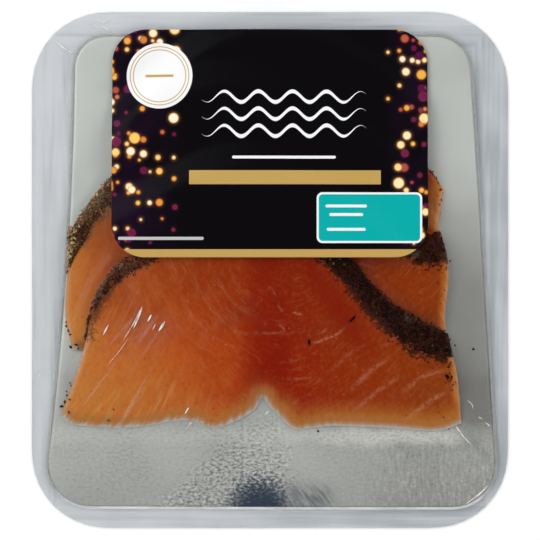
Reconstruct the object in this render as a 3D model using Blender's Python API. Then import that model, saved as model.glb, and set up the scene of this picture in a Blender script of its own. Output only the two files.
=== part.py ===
"""A sealed flat pack of sliced gravlax, lying on its back.

Two clear plastic films are welded together round their edge. Between them lie a silver board and three
wide slices of cured salmon, laid like roof tiles, each with a crust of chopped dill along its curved edge.
A printed label is stuck on the upper film.

+Z is up, +X is to the right and +Y points to the label's end of the pack. The origin is the middle of
the underside. Sizes are in metres.
"""

import bmesh
import bpy
import numpy as np

MM = 0.001

# Films, and the gap that is kept between pieces that lie on each other
PACK_WIDTH = 185 * MM
PACK_LENGTH = 200.5 * MM
PACK_CORNER = 29 * MM
FILM = 0.3 * MM
GAP = 0.3 * MM

# Silver board, a little wider at the food's end, with one side bowed inwards
BOARD_THICKNESS = 0.8 * MM
BOARD_CORNERS = (
    (-87.6 * MM, -91.8 * MM),
    (88.6 * MM, -92.2 * MM),
    (77.2 * MM, 90.9 * MM),
    (-75.2 * MM, 90.9 * MM),
)
BOARD_RADII = (17 * MM, 17 * MM, 14 * MM, 13 * MM)
BOARD_LEFT_BOW = 2.2 * MM

# Label
LABEL_CORNERS = (
    (-61.2 * MM, 4.9 * MM),
    (61.1 * MM, 4.9 * MM),
    (61.1 * MM, 93.3 * MM),
    (-61.2 * MM, 93.3 * MM),
)
LABEL_CORNER = 13 * MM
LABEL_THICKNESS = 0.2 * MM

# Slices: the skin edge is the straight one with the notch, the crust edge is the arch
SLICE_THICKNESS = 2.6 * MM
SLICE_EDGE = 0.8 * MM
EDGE_ROUND = 2.0 * MM
CRUST_RELIEF = 0.6 * MM
CRUST_SEED = 7

SLICE_BACK = {
    "skin": ((-46, -4), (-22, -7), (-8, 3), (0, -6), (30, -7), (65, -2)),
    "crust": ((-48, 30), (-45, 44), (-34, 60), (-8, 78), (24, 70), (46, 53), (61.4, 39.6), (67.4, 31)),
    "left": ((-46, -4), (-47, 14), (-48, 30)),
    "right": ((65, -2), (65.3, 16), (67.4, 31)),
    "crust_width": (1.2, 1.2, 1.2),
    "reach": 2.5 * MM,
    "ramp": 18 * MM,
}
SLICE_MIDDLE = {
    "skin": ((-76.6, -31), (-40, -35), (-12, -34), (-4, -24), (4, -34), (36, -36), (69, -31)),
    "crust": (
        (-78, 14.6), (-70.5, 26), (-61.2, 36.6), (-43, 50), (-13, 58), (24, 42), (46, 24), (57, 16.5),
        (66, 15.5),
    ),
    "left": ((-76.6, -31), (-79.4, -18), (-78.9, -4), (-78, 14.6)),
    "right": ((69, -31), (68, -18), (69.2, 1), (66, 15.5)),
    "crust_width": (8.5, 9.5, 14),
    "reach": 3.5 * MM,
    "ramp": 18 * MM,
}
SLICE_FRONT = {
    "skin": (
        (-81.4, -57), (-75, -60.4), (-53, -61.2), (-38, -58.8), (-29, -58.6), (-23, -61.3), (-16.4, -60.0),
        (-10.4, -57.2), (-5.6, -54.0), (-2.9, -49.4), (-0.6, -52.8), (3.0, -56.0), (6.0, -59.4),
        (10, -62), (24, -60.6), (48, -61.4), (64, -62.6), (74.4, -59.6),
    ),
    "crust": (
        (-70.9, -26), (-69, -13.6), (-62.2, -1.2), (-51, 7.5), (-13.6, 26), (14, 17), (31, 4),
        (41.2, -7.2), (50.5, -15.2), (69, -24.6),
    ),
    "left": ((-81.4, -57), (-74.6, -39), (-70.9, -26)),
    "right": ((74.4, -59.6), (72.7, -42), (69, -24.6)),
    "crust_width": (3, 6.5, 11),
    "reach": 6.5 * MM,
    "ramp": 0,
}
SLICES = {"slice_back": SLICE_BACK, "slice_middle": SLICE_MIDDLE, "slice_front": SLICE_FRONT}

# How far beyond a slice's edge what lies over it stays at full height, and over what run it then comes
# down. Beyond the skin edge of a slice that another one lies on, it comes down over the slice's ramp.
SLICE_DRAPE_RUN = 7 * MM
COVER_DRAPE = (8 * MM, 7.5 * MM)
LABEL_DRAPE = (12.5 * MM, 12 * MM)
SHOULDER = 0.5 * MM
FOOT = 3 * MM
INSET = 2 * MM

# Meshes: cells across and along each sheet, points on half a round corner, pieces of a straight side
COVER_CELLS = (34, 37)
LABEL_CELLS = (22, 16)
SLICE_CELLS = 36
ARC_HALF = 4
SIDE_PIECES = 16
SHARP_ANGLE = np.radians(35)
SLICE_ROWS = (0, 0.025, 0.07, 0.15, 0.25, 0.36, 0.47, 0.58, 0.69, 0.79, 0.87, 0.925, 0.97, 1)

BASE_TOP = FILM
BOARD_TOP = BASE_TOP + GAP + BOARD_THICKNESS
LAYER = SLICE_THICKNESS + GAP


def clear_scene():
    for each in list(bpy.data.objects):
        bpy.data.objects.remove(each, do_unlink=True)


def material(name, colour, roughness, metallic=0.0, alpha=1.0):
    made = bpy.data.materials.new(name)
    made.use_nodes = True
    shader = made.node_tree.nodes["Principled BSDF"]
    shader.inputs["Base Color"].default_value = (*colour, 1)
    shader.inputs["Roughness"].default_value = roughness
    shader.inputs["Metallic"].default_value = metallic
    shader.inputs["Alpha"].default_value = alpha
    made.diffuse_color = (*colour, alpha)
    return made


def smooth(share):
    """0 below 0, 1 above 1, and an S-curve between."""
    share = np.clip(share, 0, 1)
    return share * share * (3 - 2 * share)


def length_shares(points):
    """How far along a polyline each of its points lies, as a share of its length."""
    steps = np.linalg.norm(np.diff(points, axis=0), axis=1)
    reach = np.concatenate([[0], np.cumsum(steps)])
    return reach / reach[-1]


def along(points, shares):
    """Points at those shares of the length of a polyline."""
    points = np.asarray(points, float)
    reach = length_shares(points)
    return np.stack([np.interp(shares, reach, points[:, axis]) for axis in range(2)], axis=1)


def spline(knots, shares, fine=24):
    """A smooth curve through the knots, which are in millimetres, read at shares of its length."""
    knots = np.asarray(knots, float) * MM
    padded = np.concatenate([[2 * knots[0] - knots[1]], knots, [2 * knots[-1] - knots[-2]]])
    dense = [knots[0]]
    for before, start, end, after in zip(padded, padded[1:], padded[2:], padded[3:]):
        for t in np.arange(1, fine + 1) / fine:
            bend = 2 * before - 5 * start + 4 * end - after
            swing = 3 * start - before - 3 * end + after
            dense.append(0.5 * (2 * start + (end - before) * t + bend * t * t + swing * t**3))
    return along(dense, shares)


def patch(low, high, left, right):
    """A grid of points inside four edge curves: rows run from low to high, columns from left to right."""
    u = np.linspace(0, 1, len(low))[None, :, None]
    v = length_shares(left)[:, None, None]
    ruled = (1 - v) * low[None] + v * high[None] + (1 - u) * left[:, None] + u * right[:, None]
    corners = (1 - u) * (1 - v) * low[0] + u * (1 - v) * low[-1] + (1 - u) * v * high[0] + u * v * high[-1]
    return ruled - corners


def rim_of(grid):
    """The points round a grid, from its first corner, in the order low, right, high, left."""
    return np.concatenate([grid[0, :-1], grid[:-1, -1], grid[-1, :0:-1], grid[:0:-1, 0]])


def corner_arc(before, here, after, radius, grow):
    """The round corner of an outline, as points from one of its sides to the next."""
    into = (here - before) / np.linalg.norm(here - before)
    out = (after - here) / np.linalg.norm(after - here)
    inward = (out - into) / np.linalg.norm(out - into)
    half = np.arccos(np.dot(-into, out)) / 2
    centre = here + inward * radius / np.sin(half)
    first = np.array([into[1], -into[0]])
    last = np.array([out[1], -out[0]])
    sweep = np.arccos(np.dot(first, last))
    share = np.linspace(0, 1, 2 * ARC_HALF + 1)[:, None]
    turned = (np.sin((1 - share) * sweep) * first + np.sin(share * sweep) * last) / np.sin(sweep)
    return centre + (radius + grow) * turned


def rounded_sides(corners, radii, cells, grow=0.0, left_bow=0.0):
    """The four sides of a four-cornered outline with round corners, each from the middle of one corner's
    arc to the middle of the next. cells are the numbers of pieces of the lower and of the right side."""
    corners = np.asarray(corners, float)
    turns = [
        corner_arc(corners[index - 1], corners[index], corners[(index + 1) % 4], radii[index], grow)
        for index in range(4)
    ]
    sides = []
    for index, bow in enumerate((0, 0, 0, left_bow)):
        start = turns[index][ARC_HALF:]
        end = turns[(index + 1) % 4][:ARC_HALF + 1]
        share = np.linspace(0, 1, SIDE_PIECES + 1)[1:-1, None]
        middle = start[-1] + share * (end[0] - start[-1]) + 4 * share * (1 - share) * np.array([bow, 0])
        run = np.concatenate([start, middle, end])
        sides.append(along(run, np.linspace(0, 1, cells[index % 2] + 1)))
    return sides


def loop_of(sides):
    return np.concatenate([side[:-1] for side in sides])


def grid_of(sides):
    low, right, high, left = sides
    return patch(low, high[::-1], left[::-1], right)


def depth(points, outline, below=1.0):
    """How far inside a closed outline each point lies. Points outside have less than 0, and the share
    below of a distance towards -Y counts."""
    start = outline
    side = np.roll(outline, -1, axis=0) - start
    to_point = points[:, None, :] - start[None]
    share = np.clip((to_point * side).sum(2) / (side * side).sum(1), 0, 1)
    gap = to_point - share[..., None] * side
    gap[..., 1] *= np.where(gap[..., 1] < 0, below, 1)
    distance = np.linalg.norm(gap, axis=2).min(1)
    end = start + side
    spans = (start[:, 1] > points[:, None, 1]) != (end[:, 1] > points[:, None, 1])
    rise = np.where(side[:, 1] == 0, 1, side[:, 1])
    crossing = start[:, 0] + (points[:, None, 1] - start[:, 1]) * side[:, 0] / rise
    inside = (spans & (points[:, None, 0] < crossing)).sum(1) % 2 == 1
    return np.where(inside, distance, -distance)


def slice_grid(shape):
    across = np.linspace(0, 1, SLICE_CELLS + 1)
    rows = np.array(SLICE_ROWS)
    low = spline(shape["skin"], across)
    high = spline(shape["crust"], across)
    left = spline(shape["left"], rows)
    right = spline(shape["right"], rows)
    return patch(low, high, left, right)


def cover_share(points, laid, drape):
    """1 over a slice and a little beyond it, coming down to 0 further out."""
    outline, ramp = laid
    reach, run = drape
    below = min(1, (reach + run) / (reach + ramp))
    return smooth((depth(points, outline, below) + reach + run) / run)


def height_over(points, laid_slices, drape, relief=0.0):
    """The height at which something lies that is draped over the board and these slices."""
    shares = [cover_share(points, laid, drape) for laid in laid_slices]
    if not shares:
        return np.full(len(points), BOARD_TOP + GAP)
    return BOARD_TOP + GAP + LAYER * sum(shares) + relief * np.maximum.reduce(shares)


def crust_share(grid, width_mm):
    """1 in the band of dill along the arch, 0 elsewhere. The band's width is given at the left end, the
    middle and the right end."""
    count = grid.shape[1]
    widths = np.interp(np.linspace(0, 1, count), (0, 0.5, 1), width_mm) * MM
    from_arch = np.linalg.norm(grid - grid[-1:], axis=2)
    return (from_arch <= widths[None]).astype(float)


def sheet_object(name, points, faces, low, high, finish):
    """A closed sheet: the same faces at the heights low and high, joined round their rims."""
    work = bmesh.new()
    for heights in (low, high):
        corners = [work.verts.new((x, y, z)) for (x, y), z in zip(points, heights)]
        for face in faces:
            work.faces.new([corners[i] for i in face])
    bmesh.ops.bridge_loops(work, edges=[edge for edge in work.edges if edge.is_boundary])
    bmesh.ops.recalc_face_normals(work, faces=work.faces)
    mesh = bpy.data.meshes.new(name)
    work.to_mesh(mesh)
    work.free()
    mesh.materials.append(finish)
    mesh.shade_smooth()
    mesh.set_sharp_from_angle(angle=SHARP_ANGLE)
    made = bpy.data.objects.new(name, mesh)
    bpy.context.scene.collection.objects.link(made)


def grid_faces(rows, columns):
    return [
        (r * columns + c, r * columns + c + 1, (r + 1) * columns + c + 1, (r + 1) * columns + c)
        for r in range(rows - 1)
        for c in range(columns - 1)
    ]


def ringed_sheet(grid, rings):
    """The points and faces of a grid with rings of faces round it, from the inside out."""
    rows, columns = grid.shape[:2]
    index = np.arange(rows * columns).reshape(rows, columns, 1)
    faces = grid_faces(rows, columns)
    inner = rim_of(index)[:, 0]
    total = rows * columns
    for ring in rings:
        outer = np.arange(total, total + len(ring))
        faces += list(zip(np.roll(outer, 1), outer, inner, np.roll(inner, 1)))
        total += len(ring)
        inner = outer
    return np.concatenate([grid.reshape(-1, 2), *rings]), faces


def pack_sides():
    x, y = PACK_WIDTH / 2, PACK_LENGTH / 2
    return rounded_sides(((-x, -y), (x, -y), (x, y), (-x, y)), [PACK_CORNER] * 4, COVER_CELLS)


def build_flat_sheet(name, outline, low, high, finish):
    level = np.ones(len(outline))
    sheet_object(name, outline, [range(len(outline))], low * level, high * level, finish)


def board_sides(grow=0.0):
    return rounded_sides(BOARD_CORNERS, BOARD_RADII, COVER_CELLS, grow, BOARD_LEFT_BOW)


def build_slice(name, shape, grid, laid_slices, dice, finish):
    points = grid.reshape(-1, 2)
    outline = rim_of(grid)
    low = height_over(points, laid_slices, (shape["reach"], SLICE_DRAPE_RUN))
    inward = np.maximum(depth(points, outline), 0)
    round_off = np.sqrt(1 - (1 - np.clip(inward / EDGE_ROUND, 0, 1)) ** 2)
    thick = SLICE_EDGE + (SLICE_THICKNESS - SLICE_EDGE) * round_off
    crust = crust_share(grid, shape["crust_width"]).reshape(-1)
    thick = thick + CRUST_RELIEF * crust * dice.uniform(0.1, 1, len(points))
    sheet_object(name, points, grid_faces(*grid.shape[:2]), low, low + thick, finish)


def build_cover_film(laid_slices, finish):
    grid = grid_of(board_sides(-INSET))
    shoulder = loop_of(board_sides(SHOULDER))
    foot = loop_of(board_sides(FOOT))
    edge = loop_of(pack_sides())
    points, faces = ringed_sheet(grid, (shoulder, foot, edge))
    low = height_over(points, laid_slices, COVER_DRAPE, CRUST_RELIEF)
    on_flange = np.arange(len(points)) >= grid.shape[0] * grid.shape[1] + len(shoulder)
    low[on_flange] -= BOARD_TOP - BASE_TOP
    low[-len(edge):] = BASE_TOP + GAP
    sheet_object("film_cover", points, faces, low, low + FILM, finish)


def build_label(laid_slices, finish):
    grid = grid_of(rounded_sides(LABEL_CORNERS, [LABEL_CORNER] * 4, LABEL_CELLS))
    points = grid.reshape(-1, 2)
    low = height_over(points, laid_slices, LABEL_DRAPE, CRUST_RELIEF) + FILM + GAP
    sheet_object("label", points, grid_faces(*grid.shape[:2]), low, low + LABEL_THICKNESS, finish)


def main():
    clear_scene()
    clear_film = material("clear film", (0.72, 0.75, 0.78), 0.15, alpha=0.3)
    silver = material("silver board", (0.62, 0.64, 0.62), 0.35, metallic=0.8)
    salmon = material("salmon", (0.62, 0.17, 0.05), 0.35)
    print_black = material("printed label", (0.01, 0.008, 0.009), 0.4)
    dice = np.random.default_rng(CRUST_SEED)
    build_flat_sheet("film_base", loop_of(pack_sides()), 0, BASE_TOP, clear_film)
    build_flat_sheet("board", loop_of(board_sides()), BASE_TOP + GAP, BOARD_TOP, silver)
    laid_slices = []
    for name, shape in SLICES.items():
        grid = slice_grid(shape)
        build_slice(name, shape, grid, laid_slices, dice, salmon)
        laid_slices.append((rim_of(grid), shape["ramp"]))
    build_cover_film(laid_slices, clear_film)
    build_label(laid_slices, print_black)


main()
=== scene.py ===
"""Looks of a sealed flat pack of sliced gravlax, seen from straight above.

The slices, their crust of chopped dill, the silver board, the upper film and the label are modelled in
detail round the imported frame. Lengths are in millimetres until they reach a mesh, light or camera.
"""

import bpy
import numpy as np
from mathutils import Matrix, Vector
from numpy.linalg import norm


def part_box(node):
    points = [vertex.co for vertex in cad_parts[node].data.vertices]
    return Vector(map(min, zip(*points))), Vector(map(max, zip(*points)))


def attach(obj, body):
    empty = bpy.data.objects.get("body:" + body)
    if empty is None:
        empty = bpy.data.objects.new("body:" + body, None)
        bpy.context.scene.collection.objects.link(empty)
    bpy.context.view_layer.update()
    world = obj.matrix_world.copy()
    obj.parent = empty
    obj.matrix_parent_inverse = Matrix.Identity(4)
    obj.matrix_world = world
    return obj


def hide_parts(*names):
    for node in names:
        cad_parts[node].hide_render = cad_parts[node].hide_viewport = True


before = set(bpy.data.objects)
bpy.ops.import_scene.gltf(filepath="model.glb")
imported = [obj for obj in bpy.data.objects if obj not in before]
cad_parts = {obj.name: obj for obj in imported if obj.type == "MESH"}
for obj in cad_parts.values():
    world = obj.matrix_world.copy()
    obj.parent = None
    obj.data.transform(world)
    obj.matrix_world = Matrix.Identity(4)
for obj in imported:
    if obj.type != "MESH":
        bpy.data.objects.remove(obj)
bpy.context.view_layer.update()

MM = 0.001

# Heights of the layers, as the frame has them
BASE_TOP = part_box("film_base")[1][2] / MM
BOARD_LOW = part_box("board")[0][2] / MM
BOARD_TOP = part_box("board")[1][2] / MM
SLICE_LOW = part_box("slice_back")[0][2] / MM
SLICE_THICKNESS = 2.6
SLICE_GAP = 0.3
LAYER = SLICE_THICKNESS + SLICE_GAP

# Outline of the pack
PACK_HALF = (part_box("film_cover")[1][0] / MM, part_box("film_cover")[1][1] / MM)
PACK_CORNER = 29

# Outline of the board
BOARD_CORNERS = ((-87.6, -91.8), (88.6, -92.2), (77.2, 90.9), (-75.2, 90.9))
BOARD_RADII = (17, 17, 14, 13)
BOARD_LEFT_BOW = 2.2

# Outline of the label
LABEL_CORNERS = ((-61.2, 4.9), (61.1, 4.9), (61.1, 93.3), (-61.2, 93.3))
LABEL_RADIUS = 13

# Slices. Each has a straight skin edge with a notch and an arched edge with the crust, and left and right
# hold what lies between the ends of these. A slice stays up as far as its reach past the edge of a slice
# below, and comes down over the other's ramp towards -Y. lift moves the pattern of the grain up.
SLICES = {
    "slice_back": {
        "skin": ((-46, -4), (-22, -7), (-8, 3), (0, -6), (30, -7), (65, -2)),
        "crust": ((-48, 30), (-45, 44), (-34, 60), (-8, 78), (24, 70), (46, 53), (61.4, 39.6), (67.4, 31)),
        "left": ((-47, 14),),
        "right": ((65.3, 16),),
        "crust_width": ((0, 0.85, 1), (1.2, 0.5, 0.4)),
        "reach": 2.5, "ramp": 18, "cells": (120, 70), "lift": 70,
    },
    "slice_middle": {
        "skin": ((-76.6, -31), (-40, -35), (-12, -34), (-4, -24), (4, -34), (36, -36), (69, -31)),
        "crust": (
            (-78, 14.6), (-70.5, 26), (-61.2, 36.6), (-43, 50), (-13, 58), (24, 42), (46, 24), (57, 16.5),
            (66, 15.5),
        ),
        "left": ((-79.4, -18), (-78.9, -4)),
        "right": ((68, -18), (69.2, 1)),
        "crust_width": ((0, 0.08, 0.5, 0.85, 0.93, 1), (6, 9, 9.5, 12, 14.5, 15)),
        "reach": 3, "ramp": 18, "cells": (220, 120), "lift": 36,
    },
    "slice_front": {
        "skin": (
            (-81.4, -57), (-75, -60.4), (-53, -61.2), (-38, -58.8), (-29, -58.6), (-23, -61.3),
            (-16.4, -60), (-10.4, -57.2), (-5.6, -54), (-2.9, -49.4), (-0.6, -52.8), (3, -56), (6, -59.4),
            (10, -62), (24, -60.6), (48, -61.4), (64, -62.6), (74.4, -59.6),
        ),
        "crust": (
            (-70.9, -26), (-69, -13.6), (-62.2, -1.2), (-51, 7.5), (-13.6, 26), (14, 17), (31, 4),
            (41.2, -7.2), (50.5, -15.2), (69, -24.6),
        ),
        "left": ((-74.6, -39),),
        "right": ((72.7, -42),),
        "crust_width": (
            (0, 0.04, 0.09, 0.2, 0.5, 0.72, 0.84, 0.9, 0.95, 1),
            (0.8, 2.4, 4.8, 6.6, 7.6, 9.4, 11.6, 13.8, 12.8, 9.8),
        ),
        "reach": 4, "ramp": 0, "cells": (288, 168), "lift": 0,
    },
}
# The crust of the middle slice goes on down its left edge: lowest Y, highest Y, and its width there
SIDE_CRUST = (-2, 17, 8)


def smooth(share):
    """0 below 0, 1 above 1, and an S-curve between."""
    share = np.clip(share, 0, 1)
    return share * share * (3 - 2 * share)


def unit(vectors):
    """The vectors with their lengths made 1."""
    return vectors / norm(vectors, axis=-1, keepdims=True)


def length_shares(points):
    steps = norm(np.diff(points, axis=0), axis=1)
    reach = np.concatenate([[0], np.cumsum(steps)])
    return reach / reach[-1]


def along(points, shares):
    """Points at those shares of the length of a polyline."""
    points = np.asarray(points, float)
    reach = length_shares(points)
    return np.stack([np.interp(shares, reach, points[:, axis]) for axis in range(points.shape[1])], axis=1)


def spline(knots, shares, fine=24):
    """A smooth curve through the knots, read at shares of its length."""
    knots = np.reshape(knots, (-1, 2)).astype(float)
    padded = np.concatenate([[2 * knots[0] - knots[1]], knots, [2 * knots[-1] - knots[-2]]])
    before, start, end, after = [padded[k:len(padded) - 3 + k, None] for k in range(4)]
    t = np.arange(1, fine + 1)[:, None] / fine
    bend = 2 * before - 5 * start + 4 * end - after
    swing = 3 * start - before - 3 * end + after
    dense = 0.5 * (2 * start + (end - before) * t + bend * t * t + swing * t**3)
    return along(np.concatenate([knots[:1], dense.reshape(-1, 2)]), shares)


def patch(low, high, left, right):
    """A grid of points inside four edge curves: rows run from low to high, columns from left to right."""
    u = np.linspace(0, 1, len(low))[None, :, None]
    v = length_shares(left)[:, None, None]
    ruled = (1 - v) * low[None] + v * high[None] + (1 - u) * left[:, None] + u * right[:, None]
    corners = (1 - u) * (1 - v) * low[0] + u * (1 - v) * low[-1] + (1 - u) * v * high[0] + u * v * high[-1]
    return ruled - corners


def rim_of(grid):
    return np.concatenate([grid[0, :-1], grid[:-1, -1], grid[-1, :0:-1], grid[:0:-1, 0]])


def rounded_sides(corners, radii, cells, left_bow=0):
    """The four sides of a four-cornered outline with round corners, each from the middle of one corner's
    arc to the middle of the next. The corners go counterclockwise."""
    corners = np.asarray(corners, float)
    ahead = unit(np.roll(corners, -1, axis=0) - corners)
    arcs = []
    for here, radius, into, out in zip(corners, radii, np.roll(ahead, 1, axis=0), ahead):
        turn = np.arccos(into @ out)
        centre = here + unit(out - into) * radius / np.cos(turn / 2)
        angle = np.arctan2(-into[0], into[1]) + turn * np.linspace(0, 1, 33)
        arcs.append(centre + radius * np.column_stack([np.cos(angle), np.sin(angle)]))
    share = np.linspace(0, 1, 33)[1:-1]
    sides = []
    for index, arc in enumerate(arcs):
        start, end = arc[16:], arcs[(index + 1) % 4][:17]
        middle = start[-1] + np.outer(share, end[0] - start[-1])
        middle[:, 0] += 4 * share * (1 - share) * left_bow * (index == 3)
        run = np.concatenate([start, middle, end])
        sides.append(along(run, np.linspace(0, 1, cells[index % 2] + 1)))
    return sides


def grid_of(sides):
    low, right, high, left = sides
    return patch(low, high[::-1], left[::-1], right)


def loop_of(sides):
    return np.concatenate([side[:-1] for side in sides])


def offsets(points, starts, sides):
    """From the nearest place on each of some straight sides to each point."""
    to_point = points[:, None, :] - starts[None]
    share = np.clip((to_point * sides).sum(2) / (sides * sides).sum(1), 0, 1)
    return to_point - share[..., None] * sides


def depth(points, outline, below=1):
    """How far inside a closed outline each point lies. Points outside have less than 0, and the share
    below of a distance towards -Y counts."""
    found = []
    side = np.roll(outline, -1, axis=0) - outline
    end = outline + side
    rise = np.where(side[:, 1] == 0, 1, side[:, 1])
    for some in np.array_split(points, len(points) // 4000 + 1):
        gap = offsets(some, outline, side)
        gap[..., 1] *= np.where(gap[..., 1] < 0, below, 1)
        distance = norm(gap, axis=2).min(1)
        level = some[:, None, 1]
        spans = (outline[:, 1] > level) != (end[:, 1] > level)
        crossing = outline[:, 0] + (level - outline[:, 1]) * side[:, 0] / rise
        inside = (spans & (some[:, None, 0] < crossing)).sum(1) % 2 == 1
        found.append(np.where(inside, distance, -distance))
    return np.concatenate(found)


def line_distance(points, line):
    """How far each point lies from a polyline."""
    return norm(offsets(points, line[:-1], np.diff(line, axis=0)), axis=2).min(1)


def blended(field, i, j, fi, fj):
    """Values at shares of the way from place i, j of a field to the next ones."""
    low = field[i, j] * (1 - fi) + field[i + 1, j] * fi
    high = field[i, j + 1] * (1 - fi) + field[i + 1, j + 1] * fi
    return low * (1 - fj) + high * fj


def noise(points, cell, seed):
    """Smooth random values from -1 to 1, on a lattice with cells of that size."""
    lattice = np.random.default_rng(seed).uniform(-1, 1, (97, 97))
    place = np.asarray(points) / cell + 1000
    low = np.floor(place).astype(int)
    part = smooth(place - low)
    return blended(lattice, low[..., 0] % 96, low[..., 1] % 96, part[..., 0], part[..., 1])


def placed(name, data):
    """A new object in the scene."""
    made = bpy.data.objects.new(name, data)
    bpy.context.scene.collection.objects.link(made)
    return made


def mesh_object(name, points_mm, faces, material):
    mesh = bpy.data.meshes.new(name)
    mesh.from_pydata((np.asarray(points_mm) * MM).tolist(), [], faces)
    mesh.materials.append(material)
    mesh.shade_smooth()
    made = placed(name, mesh)
    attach(made, "root")
    return made


def slab(name, grid, low, high, material, values):
    """A closed sheet over a grid, between two heights. values holds named numbers for its points."""
    rows, columns = grid.shape[:2]
    flat = grid.reshape(-1, 2)
    count = len(flat)
    order = np.arange(count).reshape(rows, columns)
    first = order[:-1, :-1].reshape(-1)
    faces = np.stack([first, first + 1, first + columns + 1, first + columns], axis=1)
    rim = rim_of(order)
    after = np.roll(rim, -1)
    sides = np.stack([rim + count, after + count, after, rim], axis=1)
    points = np.concatenate([np.column_stack([flat, level]) for level in (high, low)])
    everything = np.concatenate([faces, faces[:, ::-1] + count, sides]).tolist()
    made = mesh_object(name, points, everything, material)
    for key, value in values.items():
        field = made.data.attributes.new(key, "FLOAT", "POINT")
        field.data.foreach_set("value", np.tile(value, 2).astype(np.float32))
    return made


def calculation(operation):
    """A method that makes a Math node of what it is called on and what is given."""
    def method(self, other=None):
        return self.made.math(operation, self, other)

    return method


class Signal:
    """What a node gives. Arithmetic on it makes Math nodes."""
    __add__ = calculation("ADD")
    __sub__ = calculation("SUBTRACT")
    __mul__ = calculation("MULTIPLY")
    __truediv__ = calculation("DIVIDE")
    __pow__ = calculation("POWER")
    __abs__ = calculation("ABSOLUTE")

    def __init__(self, made, socket):
        self.made = made
        self.socket = socket


class Nodes:
    """The nodes of a material or a world, and short calls that add to them."""

    def __init__(self, owner):
        owner.use_nodes = True
        self.nodes = owner.node_tree.nodes
        self.links = owner.node_tree.links

    def put(self, socket, value):
        if isinstance(value, Signal):
            value = value.socket
        if isinstance(value, bpy.types.NodeSocket):
            self.links.new(value, socket)
        elif value is not None:
            if socket.type == "RGBA" and len(value) == 3:
                value = (*value, 1)
            socket.default_value = value

    def fill(self, node, **inputs):
        for key, value in inputs.items():
            self.put(node.inputs[key.replace("_", " ")], value)
        return node

    def add(self, kind, *inputs, **settings):
        node = self.nodes.new("ShaderNode" + kind)
        for key, value in settings.items():
            setattr(node, key, value)
        for socket, value in zip(node.inputs, inputs):
            self.put(socket, value)
        return node

    def get(self, kind, *inputs, **settings):
        return Signal(self, self.add(kind, *inputs, **settings).outputs[0])

    def math(self, operation, first, second=None, clamp=False):
        return self.get("Math", first, second, operation=operation, use_clamp=clamp)

    def most(self, first, *others):
        for other in others:
            first = self.math("MAXIMUM", first, other)
        return first

    def mix(self, share, first, second):
        node = self.add("Mix", data_type="RGBA")
        for index, value in ((0, share), (6, first), (7, second)):
            self.put(node.inputs[index], value)
        return Signal(self, node.outputs[2])

    def span(self, value, start, end, low=0, high=1):
        """low at start and before, high at end and beyond, with an S-curve between."""
        return self.get("MapRange", value, start, end, low, high, interpolation_type="SMOOTHSTEP")

    def ramp(self, share, stops):
        """Colours that follow the share. A stop is a place and the colour there."""
        node = self.add("ValToRGB", share)
        marks = node.color_ramp.elements
        while len(marks) < len(stops):
            marks.new(0.5)
        for mark, (place, colour) in zip(marks, stops):
            mark.position = place
            mark.color = (*colour, 1)
        return Signal(self, node.outputs[0])

    def cloud(self, vector, scale, detail=2, roughness=0.5):
        node = self.add("TexNoise")
        self.fill(node, Vector=vector, Scale=scale, Detail=detail, Roughness=roughness)
        return Signal(self, node.outputs[0])

    def cells(self, vector, scale, **settings):
        """A Voronoi node, and three random shares for each of its cells."""
        node = self.fill(self.add("TexVoronoi", **settings), Vector=vector, Scale=scale)
        return node, self.add("SeparateColor", node.outputs["Color"]).outputs

    def value(self, name):
        return Signal(self, self.add("Attribute", attribute_name=name).outputs["Fac"])

    def place(self):
        """The point on the object, in millimetres, as a vector and as its X and Y."""
        scaled = self.add("VectorMath", self.add("TexCoord").outputs["Object"], operation="SCALE")
        where = Signal(self, self.fill(scaled, Scale=1 / MM).outputs[0])
        parts = self.add("SeparateXYZ", where).outputs
        return where, Signal(self, parts[0]), Signal(self, parts[1])

    def vector(self, x, y, z=0):
        return self.get("CombineXYZ", x, y, z)


class Shader(Nodes):
    """A material with one Principled shader. tone is the colour so far, and paint lays another over a share
    of it."""

    def __init__(self, name, roughness, metallic=0, specular=0.5, tone=None, **others):
        self.material = bpy.data.materials.new(name)
        super().__init__(self.material)
        self.tone = tone
        self.set(Roughness=roughness, Metallic=metallic, Specular_IOR_Level=specular, **others)

    def set(self, **inputs):
        self.fill(self.nodes["Principled BSDF"], **inputs)

    def paint(self, share, colour):
        self.tone = self.mix(share, self.tone, colour)

    def bump(self, height, distance_mm, strength=1):
        node = self.add("Bump")
        self.fill(node, Strength=strength, Distance=distance_mm * MM, Height=height)
        self.set(Normal=node.outputs[0])

    def finished(self):
        self.set(Base_Color=self.tone)
        return self.material


# Salmon: colours from the left to the right of the pack
SALMON_SPAN = (-85, 80)
SALMON_RAMP = (
    (0, (0.55, 0.195, 0.04)), (0.13, (0.54, 0.142, 0.026)), (0.28, (0.47, 0.082, 0.012)),
    (0.42, (0.38, 0.044, 0.005)), (0.5, (0.29, 0.018, 0.003)), (0.56, (0.25, 0.01, 0.002)),
    (0.63, (0.265, 0.021, 0.003)), (0.76, (0.268, 0.03, 0.003)), (0.9, (0.252, 0.038, 0.004)),
    (1, (0.28, 0.068, 0.01)),
)
YELLOW = (0.54, 0.2, 0.032)
DEEP = (0.225, 0.026, 0.004)
DULL = (0.385, 0.155, 0.036)
RED = (0.205, 0.008, 0.002)
COMB = (0.6, 0.33, 0.12)
ROSE = (0.37, 0.075, 0.02)
PALE_EDGE = (0.44, 0.28, 0.17)
MILKY = (0.42, 0.41, 0.385)
FAT = (0.52, 0.185, 0.065)
FAT_LINE = (0.6, 0.285, 0.15)
CRUST_BASE = (0.02, 0.007, 0.004)
CRUST_WET = (0.058, 0.014, 0.008)
CRUST_BROWN = (0.06, 0.021, 0.011)
CRUST_PALE = (0.145, 0.05, 0.024)
CRUST_OLIVE = (0.2, 0.14, 0.055)


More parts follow.
